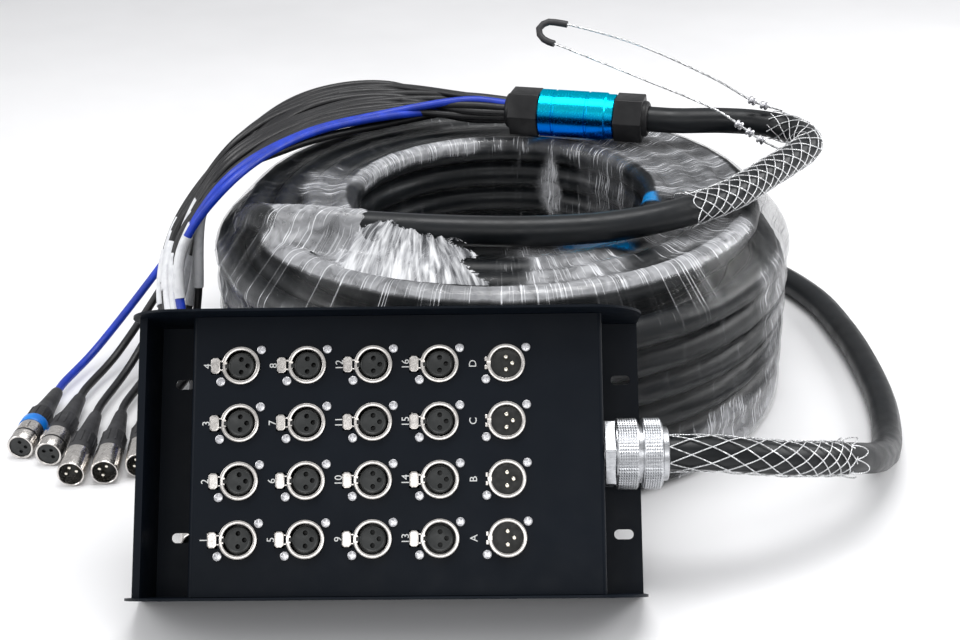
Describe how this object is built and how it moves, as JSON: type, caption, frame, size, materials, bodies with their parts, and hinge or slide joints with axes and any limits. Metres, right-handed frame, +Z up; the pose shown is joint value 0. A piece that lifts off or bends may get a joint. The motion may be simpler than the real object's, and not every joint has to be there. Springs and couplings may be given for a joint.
{
  "type": "stage box snake",
  "caption": "Folded steel stage box with flanged round microphone jacks, leaning on a film-wrapped coil of multicore cable that ends in a fan-out of plug tails.",
  "frame": {"origin": "On the floor, under the middle of the box's overall footprint, gland included and cable left out.", "axes": "+X along the box towards the cable gland, +Y from the open front of the box to the coil behind it, +Z up."},
  "size_m": [0.6442, 0.597, 0.2463],
  "materials": {
    "black_coat": "satin black powder coat",
    "nickel_plate": "satin nickel plate",
    "satin_aluminium": "satin, knurled",
    "cable_jacket": "matte black PVC",
    "tail_jacket": "satin PVC, black and blue",
    "clear_film": "clear stretch film in wrinkled layers",
    "steel_wire": "drawn steel wire",
    "blue_anodised": "bright blue anodised",
    "black_nylon": "moulded nylon",
    "plug_nickel": "satin nickel plate",
    "plug_black": "satin black lacquer"
  },
  "bodies": {
    "snake": {"box_chassis": "black_coat", "coil_core": "cable_jacket", "coil_winding": "cable_jacket", "connector_panel": "black_coat", "fan_out_barrel": "blue_anodised", "fan_out_inlet_nut": "black_nylon", "fan_out_outlet_nut": "black_nylon", "gland_body": "satin_aluminium", "gland_cap": "satin_aluminium", "gland_lock_ring": "satin_aluminium", "input_jack_1": "nickel_plate", "input_jack_10": "nickel_plate", "input_jack_11": "nickel_plate", "input_jack_12": "nickel_plate", "input_jack_13": "nickel_plate", "input_jack_14": "nickel_plate", "input_jack_15": "nickel_plate", "input_jack_16": "nickel_plate", "input_jack_2": "nickel_plate", "input_jack_3": "nickel_plate", "input_jack_4": "nickel_plate", "input_jack_5": "nickel_plate", "input_jack_6": "nickel_plate", "input_jack_7": "nickel_plate", "input_jack_8": "nickel_plate", "input_jack_9": "nickel_plate", "mesh_grip_box_end": "steel_wire", "mesh_grip_fan_end": "steel_wire", "pulling_eye": "steel_wire", "return_jack_a": "nickel_plate", "return_jack_b": "nickel_plate", "return_jack_c": "nickel_plate", "return_jack_d": "nickel_plate", "stretch_film": "clear_film", "tail_loom": "tail_jacket", "tail_plug_1": "plug_nickel", "tail_plug_2": "plug_nickel", "tail_plug_3": "plug_black", "tail_plug_4": "plug_black", "tail_plug_5": "plug_black", "tail_plug_6": "plug_black", "trunk_lead_to_box": "cable_jacket", "trunk_lead_to_fan_out": "cable_jacket"},
    "push_tab_1": {"push_tab_1": "nickel_plate"},
    "push_tab_2": {"push_tab_2": "nickel_plate"},
    "push_tab_3": {"push_tab_3": "nickel_plate"},
    "push_tab_4": {"push_tab_4": "nickel_plate"},
    "push_tab_5": {"push_tab_5": "nickel_plate"},
    "push_tab_6": {"push_tab_6": "nickel_plate"},
    "push_tab_7": {"push_tab_7": "nickel_plate"},
    "push_tab_8": {"push_tab_8": "nickel_plate"},
    "push_tab_9": {"push_tab_9": "nickel_plate"},
    "push_tab_10": {"push_tab_10": "nickel_plate"},
    "push_tab_11": {"push_tab_11": "nickel_plate"},
    "push_tab_12": {"push_tab_12": "nickel_plate"},
    "push_tab_13": {"push_tab_13": "nickel_plate"},
    "push_tab_14": {"push_tab_14": "nickel_plate"},
    "push_tab_15": {"push_tab_15": "nickel_plate"},
    "push_tab_16": {"push_tab_16": "nickel_plate"}
  },
  "joints": [
    {"name": "push_tab_1_press", "type": "slide", "parent": "snake", "child": "push_tab_1", "axis": [0, 0.8121, -0.5835], "range_m": [0, 0.0015], "stiffness_N_per_m": 400},
    {"name": "push_tab_2_press", "type": "slide", "parent": "snake", "child": "push_tab_2", "axis": [0, 0.8121, -0.5835], "range_m": [0, 0.0015], "stiffness_N_per_m": 400},
    {"name": "push_tab_3_press", "type": "slide", "parent": "snake", "child": "push_tab_3", "axis": [0, 0.8121, -0.5835], "range_m": [0, 0.0015], "stiffness_N_per_m": 400},
    {"name": "push_tab_4_press", "type": "slide", "parent": "snake", "child": "push_tab_4", "axis": [0, 0.8121, -0.5835], "range_m": [0, 0.0015], "stiffness_N_per_m": 400},
    {"name": "push_tab_5_press", "type": "slide", "parent": "snake", "child": "push_tab_5", "axis": [0, 0.8121, -0.5835], "range_m": [0, 0.0015], "stiffness_N_per_m": 400},
    {"name": "push_tab_6_press", "type": "slide", "parent": "snake", "child": "push_tab_6", "axis": [0, 0.8121, -0.5835], "range_m": [0, 0.0015], "stiffness_N_per_m": 400},
    {"name": "push_tab_7_press", "type": "slide", "parent": "snake", "child": "push_tab_7", "axis": [0, 0.8121, -0.5835], "range_m": [0, 0.0015], "stiffness_N_per_m": 400},
    {"name": "push_tab_8_press", "type": "slide", "parent": "snake", "child": "push_tab_8", "axis": [0, 0.8121, -0.5835], "range_m": [0, 0.0015], "stiffness_N_per_m": 400},
    {"name": "push_tab_9_press", "type": "slide", "parent": "snake", "child": "push_tab_9", "axis": [0, 0.8121, -0.5835], "range_m": [0, 0.0015], "stiffness_N_per_m": 400},
    {"name": "push_tab_10_press", "type": "slide", "parent": "snake", "child": "push_tab_10", "axis": [0, 0.8121, -0.5835], "range_m": [0, 0.0015], "stiffness_N_per_m": 400},
    {"name": "push_tab_11_press", "type": "slide", "parent": "snake", "child": "push_tab_11", "axis": [0, 0.8121, -0.5835], "range_m": [0, 0.0015], "stiffness_N_per_m": 400},
    {"name": "push_tab_12_press", "type": "slide", "parent": "snake", "child": "push_tab_12", "axis": [0, 0.8121, -0.5835], "range_m": [0, 0.0015], "stiffness_N_per_m": 400},
    {"name": "push_tab_13_press", "type": "slide", "parent": "snake", "child": "push_tab_13", "axis": [0, 0.8121, -0.5835], "range_m": [0, 0.0015], "stiffness_N_per_m": 400},
    {"name": "push_tab_14_press", "type": "slide", "parent": "snake", "child": "push_tab_14", "axis": [0, 0.8121, -0.5835], "range_m": [0, 0.0015], "stiffness_N_per_m": 400},
    {"name": "push_tab_15_press", "type": "slide", "parent": "snake", "child": "push_tab_15", "axis": [0, 0.8121, -0.5835], "range_m": [0, 0.0015], "stiffness_N_per_m": 400},
    {"name": "push_tab_16_press", "type": "slide", "parent": "snake", "child": "push_tab_16", "axis": [0, 0.8121, -0.5835], "range_m": [0, 0.0015], "stiffness_N_per_m": 400}
  ]
}
